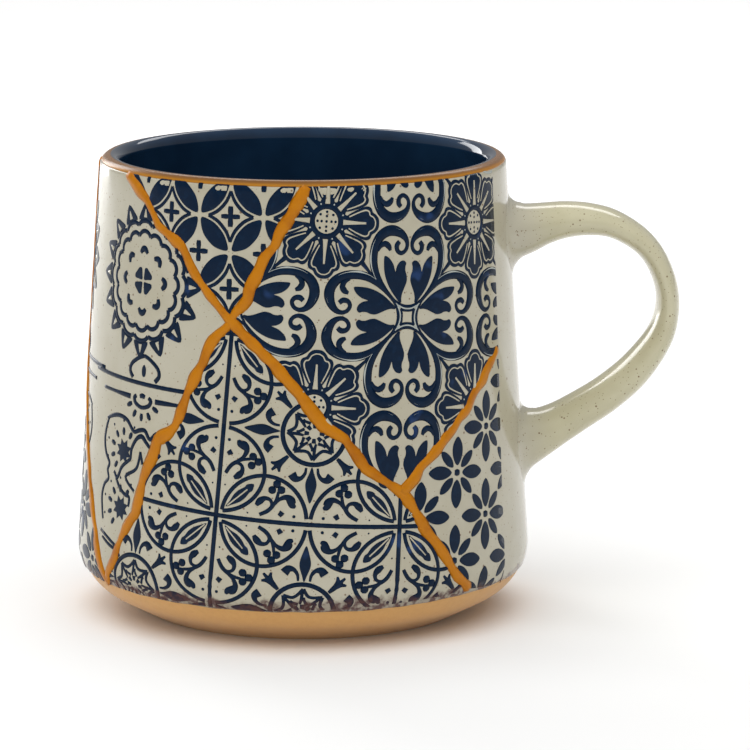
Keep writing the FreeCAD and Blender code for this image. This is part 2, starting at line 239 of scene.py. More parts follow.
def glaze_section():
    """Half section of the outer glaze: up its outside, then back down its inside."""
    heights = [LOWEST_GLAZE + 0.35 * step for step in range(20)] + [16 + 4 * step for step in range(21)]
    heights += [97.9, 98.2, 98.5, 98.8]
    outside = []
    for height in heights:
        radius, turn = outline(height)
        outside.append((radius, height))
    inside = []
    for height in heights[::-1]:
        radius, turn = outline(height)
        inside.append((radius - GLAZE_THICK * math.cos(turn), height - GLAZE_THICK * math.sin(turn)))
    return outside + inside


bm = spun(glaze_section())
for vert in bm.verts:
    height = vert.co.z / MM
    if height < EVEN_GLAZE:
        degrees = math.degrees(math.atan2(vert.co.y, vert.co.x)) + 90
        share = (EVEN_GLAZE - height) / (EVEN_GLAZE - LOWEST_GLAZE)
        vert.co.z += (glaze_line(degrees) - LOWEST_GLAZE) * max(0.0, min(1.0, share)) ** 1.5 * MM
        radius, turn = outline(vert.co.z / MM)
        is_inner = math.hypot(vert.co.x, vert.co.y) / MM < outline(height)[0] - GLAZE_THICK / 2
        under = GLAZE_THICK if is_inner else 0.0
        around = math.radians(degrees - 90)
        reach = (radius - under * math.cos(turn)) * MM
        vert.co.x = reach * math.cos(around)
        vert.co.y = reach * math.sin(around)


def speckled(shader, colour, cells, share):
    """Scatter fine brown specks of uneven size over a colour."""
    gap = shader.dots(cells) + shader.noise(cells * 0.6, 1.0) * 0.22
    return shader.mix((1.0 - gap.between(share, share + 0.06)) * 0.75, colour, SPECK)


def broken(shader, colour):
    """Let a glaze thin and break to brown along its ragged lower edge."""
    height = shader.node("ShaderNodeSeparateXYZ", {}, shader.place, output="Z")
    ragged = shader.noise(330.0, 3.0, 0.6) * 0.0045 + shader.noise(80.0, 1.0) * 0.0030
    above_line = (height - ragged).between(0.0066, 0.0082)
    blotch = shader.noise(520.0, 2.0, 0.6).between(0.4, 0.6)
    return shader.mix((1.0 - above_line) * (blotch * 0.6 + 0.4), colour, BREAKING)


cream = Shader("cream_glaze", Roughness=0.12, IOR=1.5)
ground = cream.mix(cream.noise(60.0, 3.0, 0.6).between(0.3, 0.7), CREAM, PALE_CREAM)
ground = speckled(cream, speckled(cream, ground, 450.0, 0.17), 1100.0, 0.18)
cream.set(Base_Color=broken(cream, ground))
cream.set(Normal=cream.bump(cream.noise(260.0, 2.0), 0.00005, 0.35))
outer_glaze = finished("cream_glaze", bm, cream.material, "outer_glaze")

# Handle glaze. A strap handle pulled by hand, thick where it meets the wall and thinnest at the
# far side, under the same glaze; the glaze fills the corner between handle and wall. Each row of
# HANDLE says how far out and up the strap is, and how thick and wide, as shares of its sizes.
REACH = 79.38
LOW_ROOT = 36.4
ROOT_GAP = 46.0
HANDLE = [
    (0.578, 1.008, 2.42, 1.13), (0.620, 1.026, 2.02, 1.06), (0.664, 1.046, 1.70, 1.02),
    (0.718, 1.063, 1.48, 1.00), (0.782, 1.065, 1.30, 1.00), (0.848, 1.043, 1.13, 1.00),
    (0.918, 0.974, 1.02, 1.00), (0.964, 0.885, 0.97, 1.00), (0.995, 0.757, 0.96, 1.00),
    (1.000, 0.633, 1.00, 1.00), (0.978, 0.500, 1.16, 1.00), (0.914, 0.346, 1.38, 1.00),
    (0.838, 0.230, 1.48, 1.00), (0.761, 0.143, 1.56, 1.00), (0.703, 0.083, 1.70, 1.02),
    (0.655, 0.041, 2.00, 1.06), (0.617, 0.015, 2.38, 1.13),
]
THICK = 5.2
WIDE = 15.0
FILLET = 2.5
SINK = 0.12
RINGS_BETWEEN = 6
STRAP_CREAM = (0.505, 0.472, 0.312, 1)
STRAP_PALE = (0.565, 0.53, 0.365, 1)


def through(points, steps):
    """Points of an even curve through the given ones."""
    result = []
    for place in range(len(points) - 1):
        before = points[max(place - 1, 0)]
        start, end = points[place], points[place + 1]
        after = points[min(place + 2, len(points) - 1)]
        for step in range(steps):
            share = step / steps
            squared, cubed = share * share, share * share * share
            result.append((2 * start + (end - before) * share
                           + (2 * before - 5 * start + 4 * end - after) * squared
                           + (3 * start - before - 3 * end + after) * cubed) / 2)
    result.append(points[-1])
    return result


def handle_rings():
    """Place out and up, thickness and width of each ring along the handle, in mm."""
    stations = [Vector((REACH * out, LOW_ROOT + ROOT_GAP * up, THICK * thick, WIDE * wide))
                for out, up, thick, wide in HANDLE]
    return through(stations, RINGS_BETWEEN)


def ring_points(centre, across, half_thick, half_wide, count=48):
    """A rounded strap section: points of a slightly squared ellipse."""
    points = []
    for step in range(count):
        turn = 2 * math.pi * step / count
        side, up = math.cos(turn), math.sin(turn)
        points.append(centre + Vector((0, 1, 0)) * half_wide * math.copysign(abs(side) ** 0.92, side)
                      + across * half_thick * math.copysign(abs(up) ** 0.92, up))
    return points


def add_ring(bm, points):
    """A ring of edges through points given in mm."""
    corners = [bm.verts.new(point * MM) for point in points]
    return [bm.edges.new(pair) for pair in zip(corners, corners[1:] + corners[:1])]


def wall_reach(side, height):
    """How far out along X the glazed wall lies at a height and a distance to the side."""
    return math.sqrt(outline(height)[0] ** 2 - side ** 2)


def root_rings(station, nearer, sign, grow_steps=7):
    """Rings where the handle meets the wall: they follow the wall and spread like a trumpet.

    The slope between station and nearer, the next one to the wall, carries on up to the wall.
    """
    per_mm = (station - nearer) / (station.x - nearer.x)
    rings = []
    for step in range(grow_steps + 1):
        turn = math.pi / 2 * step / grow_steps
        spread = FILLET * (1 - math.cos(turn))
        off = FILLET * (1 - math.sin(turn)) - SINK * (step == grow_steps)
        here = station + per_mm * (off - FILLET)
        points = ring_points(Vector((0, 0, here.y)), Vector((0, 0, sign)),
                             here.z / 2 + spread, here.w / 2 + spread)
        for point in points:
            point.x = wall_reach(point.y, point.z) + off
        rings.append(points)
    return rings


bm = bmesh.new()
stations = handle_rings()
rings = root_rings(stations[3], stations[1], 1)[::-1]
for place in range(4, len(stations) - 4):
    station = stations[place]
    along = stations[place + 1] - stations[place - 1]
    along = Vector((along.x, 0, along.y)).normalized()
    centre = Vector((station.x, 0, station.y))
    across = Vector((-along.z, 0, along.x))
    ring = ring_points(centre, across, station.z / 2, station.w / 2)
    if min(point.x - wall_reach(point.y, point.z) for point in ring) > FILLET + 0.5:
        rings.append(ring)
rings += root_rings(stations[-2], stations[-1], -1)
loops = [add_ring(bm, points) for points in rings]
for first, second in zip(loops, loops[1:]):
    bmesh.ops.bridge_loops(bm, edges=first + second)
bmesh.ops.holes_fill(bm, edges=loops[0] + loops[-1], sides=0)
outward(bm)

strap = Shader("handle_glaze", Roughness=0.13, IOR=1.5)
ground = strap.mix(strap.noise(70.0, 3.0, 0.6).between(0.3, 0.7), STRAP_CREAM, STRAP_PALE)
out_from_wall = strap.node("ShaderNodeSeparateXYZ", {}, strap.place, output="X").between(0.046, 0.056)
ground = strap.mix(out_from_wall, PALE_CREAM, ground)
strap.set(Base_Color=speckled(strap, speckled(strap, ground, 600.0, 0.185), 1300.0, 0.21))
strap.set(Normal=strap.bump(strap.noise(260.0, 2.0), 0.00005, 0.35))
handle_glaze = finished("glazed_handle", bm, strap.material, "handle_glaze")

# Navy liner glaze. It is poured in and swilled round, so it covers the whole inside, down the
# straight wall and round the corner to the floor, and runs up to the crest of the lip.
NAVY = (0.0060, 0.0195, 0.046, 1)
THIN_NAVY = (0.010, 0.035, 0.080, 1)
INSIDE_CORNER = (34.013, 17.0)
INSIDE_BEND = 10.6


def liner_section():
    """Half section of the liner: over the lip's inner half, down the wall and across the floor."""
    points = []
    for step in range(9):
        turn = math.pi / 2 + (math.pi / 2 + LEAN) * step / 8
        points.append((LIP[0] + LIP_BEND * math.cos(turn), LIP[1] + LIP_BEND * math.sin(turn)))
    for step in range(17):
        turn = LEAN - (LEAN + math.pi / 2) * step / 16
        points.append((INSIDE_CORNER[0] + INSIDE_BEND * math.cos(turn),
                       INSIDE_CORNER[1] + INSIDE_BEND * math.sin(turn)))
    return points


section = liner_section()
under = [(radius + 0.3, height - 0.1) if height > 20 else (radius + 0.15, height - 0.3)
         for radius, height in section[::-1]]
floor_height = section[-1][1]
bm = spun(section + [(0, floor_height), (0, floor_height - 0.3)] + under)
liner = Shader("navy_liner", Roughness=0.07, IOR=1.45)
liner.set(Base_Color=liner.mix(liner.noise(60.0, 3.0).between(0.3, 0.8), NAVY, THIN_NAVY))
inner_glaze = finished("navy_liner", bm, liner.material, "inner_glaze")

# Rim band. Ochre glaze wiped round the outer half of the lip with a sponge, over the cream. It
# thins to brown along the crest, where it meets the navy liner.
BAND_OUT = 0.02
BAND_INSIDE = 1.95
OCHRE = (0.51, 0.180, 0.003, 1)
OCHRE_DEEP = (0.36, 0.105, 0.002, 1)
RIM_OCHRE = (0.42, 0.17, 0.010, 1)
RIM_BROWN = (0.15, 0.065, 0.02, 1)
band = []
for step in range(8):
    turn = math.pi / 2 - (math.pi / 2 - 0.5) * step / 7
    band.append((LIP[0] + (LIP_BEND + BAND_OUT) * math.cos(turn), LIP[1] + LIP_BEND * math.sin(turn)))
band += [(LIP[0] + BAND_INSIDE * math.cos(turn), LIP[1] + BAND_INSIDE * math.sin(turn))
         for turn in (0.52, 1.0, math.pi / 2)]
bm = spun(band)
ochre = Shader("ochre_glaze", Roughness=0.3, IOR=1.45, Specular_IOR_Level=0.2)
pooled = ochre.noise(160.0, 3.0, 0.6).between(0.4, 0.8)
ochre.set(Base_Color=ochre.mix(pooled, OCHRE, OCHRE_DEEP))
rim_ochre = Shader("rim_ochre", Roughness=0.25, IOR=1.45, Specular_IOR_Level=0.3)
crest = rim_ochre.node("ShaderNodeSeparateXYZ", {}, rim_ochre.place, output="Z").between(0.0990, 0.0997)
rim_ochre.set(Base_Color=rim_ochre.mix(crest * 0.85, RIM_OCHRE, RIM_BROWN))
rim_band = finished("ochre_rim", bm, rim_ochre.material, "rim_band")

# Raised ochre lines. Each is a bead of glaze trailed from a nozzle over the join between two
# patterns, so it wanders and swells a little along its length. Their corners are given in degrees
# round from the front and mm up; the back's are the front's, turned round the mug.
FLAT = 47.0
LINE_WIDE = 2.5
LINE_RISE = 0.36
LINE_TOP = 99.1
LONG_LINE = [(-58, 98.9), (-48, 94), (-43, 89), (-35, 85.5), (-30, 79.5), (-19.5, 70.3), (-12, 65), (-8, 62),
             (-1, 55.5), (5, 48.8), (10.5, 46), (16, 39.5), (26, 33.5), (33, 24.5), (42, 14), (46.6, 10.7)]
UPPER_LINE = [(1, 98.9), (-6, 89.5), (-10, 84), (-14, 78), (-15, 75.5), (-19.5, 70.3)]
LOWER_LINE = [(-19.5, 70.3), (-24, 66), (-28, 60), (-32, 52.5), (-35, 47), (-40, 43.5), (-45, 35),
              (-48, 27), (-53, 21), (-57, 14), (-60, 9.6)]
BRANCH_LINE = [(26, 33.5), (31, 38.5), (38, 43), (44, 47), (53, 54), (63.5, 60.5)]
SIDE_LINE = [(-60, 9.6), (-63, 14), (-67, 21), (-76, 36), (-90.5, 60.5), (-90, 98.9)]
BACK_TURN = -154


def flat(degrees, height):
    """A place on the wall laid out flat, in mm: round from the front, and height."""
    return Vector((math.radians(degrees) * FLAT, height, 0))


def wrap(bm):
    """Lay flat mm work on the wall: x round it, y up it, z out of it."""
    for vert in bm.verts:
        vert.co = on_wall(math.degrees(vert.co.x / FLAT), vert.co.y, vert.co.z)


def bead(points, widths, closed=False):
    """A mesh of round section along points, each with its own width, in flat mm."""
    curve = bpy.data.curves.new("bead", "CURVE")
    curve.dimensions = "3D"
    curve.bevel_depth = 1.0
    curve.bevel_resolution = 1
    curve.use_fill_caps = True
    spline = curve.splines.new("POLY")
    spline.points.add(len(points) - 1)
    spline.use_cyclic_u = closed
    for spot, point, width in zip(spline.points, points, widths):
        spot.co = (point.x, point.y, 0, 1)
        spot.radius = width / 2
    holder = bpy.data.objects.new("bead", curve)
    mesh = bpy.data.meshes.new_from_object(holder)
    bpy.data.objects.remove(holder)
    bpy.data.curves.remove(curve)
    return mesh


def trailed(name, places, turn, node):
    """One raised line from places in degrees and height, turned round the mug."""
    corners = [flat(degrees, height) for degrees, height in places]
    points = []
    for start, end in zip(corners, corners[1:]):
        count = max(2, round((end - start).length / 0.9))
        points += [start.lerp(end, step / count) for step in range(count)]
    points.append(corners[-1])
    widths = []
    for place, point in enumerate(points):
        spot = Vector((point.x * 0.22, point.y * 0.22, len(name)))
        drift = 0.7 * noise.noise(spot)
        swell = LINE_WIDE + 1.4 * noise.noise(spot * 1.15 + Vector((7, 0, 0)))
        points[place] = point + Vector((drift, -drift * 0.5, 0))
        widths.append(swell)
    widths[-1] *= 0.6
    mesh = bead(points, widths)
    bm = bmesh.new()
    bm.from_mesh(mesh)
    bmesh.ops.remove_doubles(bm, verts=bm.verts, dist=1e-4)
    for vert in bm.verts:
        vert.co.y = min(vert.co.y, LINE_TOP)
        vert.co.z = LINE_RISE * math.tanh(vert.co.z / 0.7)
        vert.co.x += math.radians(turn) * FLAT
    wrap(bm)
    outward(bm)
    piece = finished(name, bm, ochre.material, node)


for side, turn, side_line in (("front", 0, SIDE_LINE), ("back", BACK_TURN, SIDE_LINE[:-1])):
    for title, places in (("long", LONG_LINE), ("upper", UPPER_LINE), ("lower", LOWER_LINE),
                          ("branch", BRANCH_LINE), ("side", side_line)):
        trailed("%s_%s_bead" % (side, title), places, turn, "%s_%s_line" % (side, title))

# Printed patterns. Each patch carries one repeating folk pattern in thick navy colour that melted
# into the glaze, so every mark stands a little proud; thin pale lines run along some of the marks.
INK = 0.11
PALE_INK = 0.05
SPREAD = 0.2
LEAF_EDGE = 0.14
LEAF_GRID = 2.4
INK_NAVY = (0.0016, 0.0110, 0.032, 1)
INK_BLUE = (0.0045, 0.026, 0.066, 1)
BLED_BLUE = (0.035, 0.09, 0.28, 1)
PALE_LINE_BLUE = (0.40, 0.43, 0.40, 1)


def relief(bm, top):
    """Press round-sectioned marks down to low pillows with the given height, in mm."""
    for vert in bm.verts:
        vert.co.z = top * math.tanh(vert.co.z / 0.3)


class Pattern:
    """Marks of one repeat, drawn in mm round its own centre; colours are 0 navy, 1 pale, 2 cream."""

    def __init__(self):
        self.marks = []

    def add(self, mesh, points, colour, turns):
        """Keep one mark's mesh, the points it follows and the turns it is repeated at."""
        bm = bmesh.new()
        bm.from_mesh(mesh)
        bpy.data.meshes.remove(mesh)
        bmesh.ops.remove_doubles(bm, verts=bm.verts, dist=1e-4)
        relief(bm, INK + PALE_INK * colour)
        made = bpy.data.meshes.new("mark")
        bm.to_mesh(made)
        bm.free()
        for polygon in made.polygons:
            polygon.material_index = colour
        self.marks.append((made, points, turns))

    def stroke(self, points, widths, turns=(Matrix(),), colour=0, steps=5):
        """A brush stroke through points; widths are given at the same points."""
        spots = through([Vector((x, y, width)) for (x, y), width in zip(points, widths)], steps)
        path = [Vector((spot.x, spot.y, 0)) for spot in spots]
        widths = [max(spot.z, 0.06) + SPREAD for spot in spots]
        self.add(bead(path, widths), path, colour, turns)

    def line(self, start, end, width, turns=(Matrix(),), colour=0):
        """A straight stroke of even width."""
        count = max(2, round((Vector(end) - Vector(start)).length / 2))
        path = [Vector(start).lerp(Vector(end), step / count).to_3d() for step in range(count + 1)]
        self.add(bead(path, [width + SPREAD] * (count + 1)), path, colour, turns)

    def ring(self, centre, radius, width, turns=(Matrix(),), colour=0, first=0.0, last=360.0, tall=None):
        """A circle or part of one, or an upright oval if a height is given."""
        tall = tall or radius
        whole = last - first >= 360
        count = max(6, round(radius * math.radians(last - first) / 0.9))
        path = []
        for step in range(count if whole else count + 1):
            turn = math.radians(first + (last - first) * step / count)
            path.append(Vector((centre[0] + radius * math.cos(turn), centre[1] + tall * math.sin(turn), 0)))
        self.add(bead(path, [width + SPREAD] * len(path), whole), path, colour, turns)

    def dot(self, centre, radius, turns=(Matrix(),), colour=0):
        """A round spot."""
        path = [Vector((centre[0] + radius * off, centre[1], 0)) for off in (-0.9, -0.55, 0, 0.55, 0.9)]
        self.add(bead(path, [radius * wide for wide in (0.9, 1.65, 2, 1.65, 0.9)]), path, colour, turns)

    def leaf(self, corners, turns=(Matrix(),), colour=0, steps=3):
        """A filled shape with a soft outline through the corners."""
        spots = [Vector((x, y, 0)) for x, y in corners]
        spots = through(spots[-1:] + spots + spots[:2], steps)[steps:-steps - 1]
        curve = bpy.data.curves.new("leaf", "CURVE")
        curve.dimensions = "2D"
        curve.fill_mode = "BOTH"
        curve.bevel_depth = LEAF_EDGE
        curve.offset = SPREAD / 3 - LEAF_EDGE
        curve.extrude = 0.12
        curve.bevel_resolution = 1
        spline = curve.splines.new("POLY")
        spline.points.add(len(spots) - 1)
        spline.use_cyclic_u = True
        for place, spot in zip(spline.points, spots):
            place.co = (spot.x, spot.y, 0, 1)
        holder = bpy.data.objects.new("leaf", curve)
        mesh = bpy.data.meshes.new_from_object(holder)
        bpy.data.objects.remove(holder)
        bpy.data.curves.remove(curve)
        bm = bmesh.new()
        bm.from_mesh(mesh)
        bmesh.ops.remove_doubles(bm, verts=bm.verts, dist=1e-4)
        for axis in (0, 1):
            low = math.floor(min(spot[axis] for spot in spots) / LEAF_GRID)
            high = math.ceil(max(spot[axis] for spot in spots) / LEAF_GRID)
            for cut in range(low, high + 1):
                direction = Vector((1 - axis, axis, 0))
                bmesh.ops.bisect_plane(bm, geom=bm.verts[:] + bm.edges[:] + bm.faces[:],
                                       plane_co=direction * cut * LEAF_GRID, plane_no=direction)
        bm.to_mesh(mesh)
        bm.free()
        self.add(mesh, spots, colour, turns)


def turned(count, mirrored=False, start=0.0):
    """Turns round the repeat's centre, with their mirror images if asked."""
    spins = [Matrix.Rotation(math.radians(start) + 2 * math.pi * step / count, 4, "Z")
             for step in range(count)]
    return spins + [spin @ Matrix.Scale(-1, 4, (1, 0, 0)) for spin in spins] if mirrored else spins


def inside(point, patch):
    """True if a flat point lies in the patch's outline."""
    crossings = 0
    for start, end in zip(patch, patch[1:] + patch[:1]):
        if (start.y > point.y) != (end.y > point.y):
            if point.x < start.x + (end.x - start.x) * (point.y - start.y) / (end.y - start.y):
                crossings += 1
    return crossings % 2 == 1


def trim(bm, patch):
    """Cut marks along the patch's outline, drop what lies outside and close the cut ends."""
    for start, end in zip(patch, patch[1:] + patch[:1]):
        along = end - start
        across = Vector((-along.y, along.x, 0)).normalized()
        middle = (start + end) / 2
        reach = along.length / 2 + 1.5
        near = [face for face in bm.faces if (face.calc_center_median() - middle).xy.length < reach]
        parts = set(near)
        for face in near:
            parts.update(face.edges)
            parts.update(face.verts)
        bmesh.ops.bisect_plane(bm, geom=list(parts), plane_co=start, plane_no=across)
    outside = [face for face in bm.faces if not inside(face.calc_center_median(), patch)]
    bmesh.ops.delete(bm, geom=outside, context="FACES")
    rims = [edge for edge in bm.edges if edge.is_boundary]
    bmesh.ops.holes_fill(bm, edges=rims, sides=0)


def printed(name, pattern, repeats, patch, turn=0.0):
    """Print a pattern's repeats over a patch, lay it on the wall and make it one piece."""
    whole = bmesh.new()
    cut = bmesh.new()
    for repeat in repeats:
        for mesh, points, turns in pattern.marks:
            for spin in turns:
                place = repeat @ spin
                spots = [place @ point for point in points]
                kept = [inside(spot, patch) for spot in spots]
                if not any(kept):
                    continue
                target = whole if all(kept) else cut
                before = len(target.verts)
                target.from_mesh(mesh)
                target.verts.ensure_lookup_table()
                bmesh.ops.transform(target, matrix=place, verts=target.verts[before:])
    trim(cut, patch)
    rest = bpy.data.meshes.new("rest")
    cut.to_mesh(rest)
    cut.free()
    whole.from_mesh(rest)
    bpy.data.meshes.remove(rest)
    for vert in whole.verts:
        vert.co.x += math.radians(turn) * FLAT
    wrap(whole)
    outward(whole)
    piece = finished(name, whole, print_navy.material, name.replace("print", "transfer"))
    piece.data.materials.append(print_pale.material)
    piece.data.materials.append(cream.material)


def line_of(places):
    """A raised line's corners laid out flat."""
    return [flat(degrees, height) for degrees, height in places]


def repeats(centre, across, up, tilt, columns, rows):
    """Places of a repeat over a tilted grid of tiles."""
    spin = Matrix.Rotation(math.radians(tilt), 4, "Z")
    middle = Vector((centre[0], centre[1], 0))
    return [Matrix.Translation(middle + spin @ Vector((across * column, up * row, 0))) @ spin
            for column in columns for row in rows]


print_navy = Shader("print_navy", Roughness=0.2, IOR=1.45, Specular_IOR_Level=0.15)
melted = print_navy.noise(700.0, 3.0, 0.6).between(0.45, 0.85)
deep = print_navy.mix(melted * 0.5, INK_NAVY, INK_BLUE)
bled = print_navy.noise(150.0, 2.0, 0.6).between(0.64, 0.76)
inked = print_navy.mix(bled * 0.35, deep, BLED_BLUE)
print_navy.set(Base_Color=broken(print_navy, inked))
print_pale = Shader("print_pale", Roughness=0.14, IOR=1.45, Base_Color=PALE_LINE_BLUE)

# Lattice pattern, in the patch at the top between two raised lines. Interlocking circles whose
# overlaps are leaves, with a framed cross between them, printed in navy on the cream glaze.
lattice = Pattern()
quarters = turned(4)
lattice.leaf([(7.0, 0.55), (7.15, 1.6), (6.5, 3.7), (5.2, 5.3), (3.6, 6.5), (1.6, 7.1), (0.6, 7.0),
              (0.65, 6.0), (1.4, 4.1), (2.6, 2.6), (4.1, 1.4), (6.0, 0.65)], quarters)
lattice.stroke([(5.3, 0), (3.4, 0.85), (2.0, 2.0), (0.85, 3.4), (0, 5.3)], [0.5, 0.6, 0.62, 0.6, 0.5],
               quarters)
lattice.stroke([(0, -2.15), (0, -1.2), (0, 0), (0, 1.2), (0, 2.15)], [0.9, 1.1, 0.85, 1.1, 0.9])
lattice.stroke([(-2.2, 0), (-1.2, 0), (0, 0), (1.2, 0), (2.2, 0)], [0.6, 0.85, 0.7, 0.85, 0.6])
corner = [Matrix.Translation((7.6, 7.6, 0))]
lattice.stroke([(0, -2.2), (0, -1.3), (0, 0), (0, 1.3), (0, 2.2)], [0.8, 1.05, 0.7, 1.05, 0.8], corner)
lattice.stroke([(-2.3, 0), (-1.3, 0), (0, 0), (1.3, 0), (2.3, 0)], [0.6, 0.95, 0.7, 0.95, 0.6], corner)
lattice_patch = line_of(UPPER_LINE)[::-1] + line_of(LONG_LINE[:6])[:-1]
lattice_places = repeats((-16.41, 92.3), 15.2, 15.2, 0, range(-3, 3), range(-2, 2))

# Tulip pattern, in the largest patch, towards the handle. Crosses of paired leaves in scrolled
# frames, with a round flower at each corner, and thin pale lines along some of the navy marks.
top_edge = 98.85
FLOWER = Matrix.Translation((19.7, 19.45, 0))
tulip = Pattern()
arms = turned(4, True)
tulip.leaf([(0.50, 7.9), (0.62, 8.8), (0.95, 9.7), (0.98, 10.6), (0.8, 11.3), (1.4, 11.8), (2.3, 11.5),
            (2.95, 10.6), (3.2, 9.6), (3.35, 9.3), (3.5, 9.7), (3.95, 11.0), (4.9, 12.2), (5.95, 12.7),
            (6.1, 11.8), (5.95, 9.7), (5.35, 7.7), (4.4, 5.9), (3.15, 4.3), (2.3, 3.35), (1.7, 3.1),
            (1.75, 4.0), (1.5, 5.1), (0.95, 6.4), (0.6, 7.3)], arms)
tulip.stroke([(3.3, 3.4), (5.2, 5.2), (7.1, 7.5), (8.3, 10.0), (8.65, 12.6), (8.3, 15.0), (7.2, 16.9),
              (5.5, 17.95), (3.8, 18.05), (2.1, 17.4), (0.95, 16.3), (0.62, 15.0), (1.1, 13.9),
              (2.1, 13.4), (3.0, 13.9), (3.2, 15.0), (2.6, 15.8)],
             [0.5, 0.8, 1.3, 1.6, 1.7, 1.8, 2.0, 2.1, 2.05, 1.6, 1.05, 0.75, 0.7, 0.75, 0.85, 1.0, 0.8],
             arms)
tulip.stroke([(4.0, 4.2), (6.2, 6.0), (8.0, 8.3), (9.1, 11.0), (9.2, 13.2), (8.5, 15.8), (7.0, 17.6),
              (5.0, 18.5), (3.0, 18.3), (1.4, 17.1), (0.85, 15.6)],
             [0.1, 0.28, 0.3, 0.32, 0.3, 0.3, 0.32, 0.34, 0.34, 0.32, 0.12], arms, colour=1)
tulip.stroke([(4.75, 13.9), (5.2, 14.8), (6.1, 15.3), (7.1, 14.8), (7.7, 13.7)],
             [0.5, 1.1, 1.1, 0.8, 0.3], arms)
tulip.stroke([(7.7, 7.9), (9.6, 9.7), (11.5, 11.5)], [0.2, 0.5, 0.95], quarters)
tulip.stroke([(-3.3, 3.5), (-1.7, 2.45), (0, 2.1), (1.7, 2.45), (3.3, 3.5)], [0.4, 0.65, 0.75, 0.65, 0.4],
             quarters)
tulip.stroke([(-1.7, 1.75), (-0.9, 1.5), (0, 1.42), (0.9, 1.5), (1.7, 1.75)], [0.6, 0.55, 0.5, 0.55, 0.6],
             quarters)
tulip.stroke([(-2.9, 2.95), (-1.5, 2.05), (0, 1.75), (1.5, 2.05), (2.9, 2.95)],
             [0.15, 0.3, 0.3, 0.3, 0.15], quarters, colour=1)
bloom = [FLOWER @ spin for spin in turned(8)]
half_bloom = [FLOWER @ spin for spin in turned(8, start=22.5)]
both_bloom = [spin @ flip for spin in bloom for flip in (Matrix(), Matrix.Scale(-1, 4, (0, 1, 0)))]
tulip.leaf([(4.4, 1.2), (6.4, 2.5), (8.7, 3.45), (9.9, 3.2), (10.35, 2.3), (11.2, 1.75), (11.85, 0.8),
            (11.85, -0.8), (11.2, -1.75), (10.35, -2.3), (9.9, -3.2), (8.7, -3.45), (6.4, -2.5),
            (4.4, -1.2), (4.1, 0)], bloom)
tulip.stroke([(3.7, 0), (5.2, 0), (7.4, 0), (8.9, 0)], [1.2, 0.85, 0.5, 0.35], bloom, colour=2)
tulip.stroke([(5.0, 1.2), (6.9, 2.1), (8.6, 2.7), (9.5, 2.45), (9.75, 1.75), (10.6, 1.25), (11.05, 0.5),
              (11.1, 0)], [0.2, 0.2, 0.24, 0.24, 0.2, 0.18, 0.18, 0.18], both_bloom, colour=2)
tulip.ring((19.7, 19.45), 3.15, 0.95)
tulip.leaf([(3.3, -1.15), (4.4, -1.05), (5.0, -0.75), (4.3, 0), (5.0, 0.75), (4.4, 1.05), (3.3, 1.15)],
           half_bloom)
tulip.dot((3.85, 0), 0.26, half_bloom, colour=1)
for radius, count in ((2.0, 8), (1.1, 4), (0.0, 1)):
    tulip.dot((radius, 0), 0.3, [FLOWER @ spin for spin in turned(count)])
tulip_patch = (line_of(LONG_LINE[5:13]) + line_of(BRANCH_LINE)[1:-1]
               + [flat(63.8, 60.8), flat(66, top_edge)] + line_of(UPPER_LINE)[:-1])
tulip_places = repeats((23.3, 70.8), 39.4, 38.9, -4.3, range(-2, 2), range(-2, 2))

# Vine pattern, in the patch at the foot. Linked circles laid across square tiles, with sprigs and
# leaves inside them and a star medallion where four tiles meet.
MEDALLION = Matrix.Translation((19.3, 19.3, 0))
vine = Pattern()
vine.line((0, -0.3), (0, 19.3), 0.8, quarters)
vine.ring((10.0, 0), 8.95, 0.68, turned(4, True), first=7, last=172, tall=9.6)
vine.leaf([(2.0, 2.2), (3.4, 2.8), (4.8, 3.5), (5.9, 4.5), (6.7, 5.7), (7.3, 6.2), (7.5, 7.5), (6.2, 7.3),
           (5.7, 6.7), (4.5, 5.9), (3.5, 4.8), (2.8, 3.4)], quarters)
vine.line((2.3, 2.4), (6.3, 6.3), 0.22, quarters, colour=2)
eighths = turned(4, True)
vine.stroke([(9.2, 1.3), (11.0, 2.4), (12.3, 4.3), (12.8, 6.4)], [0.6, 0.7, 0.55, 0.45], eighths)
for lobe in ((13.35, 6.9), (12.35, 8.1), (11.45, 6.75)):
    vine.dot(lobe, 0.88, eighths)
vine.stroke([(12.2, 3.8), (13.1, 4.9), (14.4, 5.45), (15.4, 4.9), (15.8, 3.9), (16.5, 3.5)],
            [0.4, 0.6, 1.0, 1.7, 1.3, 0.4], eighths)
vine.stroke([(10.8, 2.2), (11.6, 3.5), (11.2, 4.6), (10.1, 4.85), (9.1, 4.2), (8.4, 3.2)],
            [0.35, 0.5, 0.55, 0.8, 1.3, 0.6], eighths)
vine.stroke([(13.3, 1.4), (13.9, 2.3)], [0.7, 1.0], eighths, steps=3)
vine.dot((16.3, 1.5), 0.36, eighths)
vine.dot((6.7, 1.4), 0.2, eighths)
vine.leaf([(19.3, 4.6), (19.8, 5.8), (20.35, 7.8), (20.3, 9.2), (19.7, 10.9), (19.3, 12.1), (18.9, 10.9),
           (18.3, 9.2), (18.25, 7.8), (18.8, 5.8)], eighths[:4])
vine.leaf([(4.6, 19.3), (5.8, 19.8), (7.8, 20.35), (9.2, 20.3), (10.9, 19.7), (12.1, 19.3), (10.9, 18.9),
           (9.2, 18.3), (7.8, 18.25), (5.8, 18.8)], eighths[:1])
vine.stroke([(15.2, 10.5), (16.0, 9.6), (17.1, 9.7), (17.9, 10.7), (18.1, 12.0)],
            [1.7, 1.4, 0.75, 0.5, 0.3], eighths)
vine.stroke([(14.2, 14.2), (12.8, 12.8), (11.0, 11.0)], [0.5, 1.0, 0.3], quarters)
vine.stroke([(13.4, 13.2), (12.5, 11.9), (12.6, 10.7)], [0.5, 0.75, 0.25], eighths)
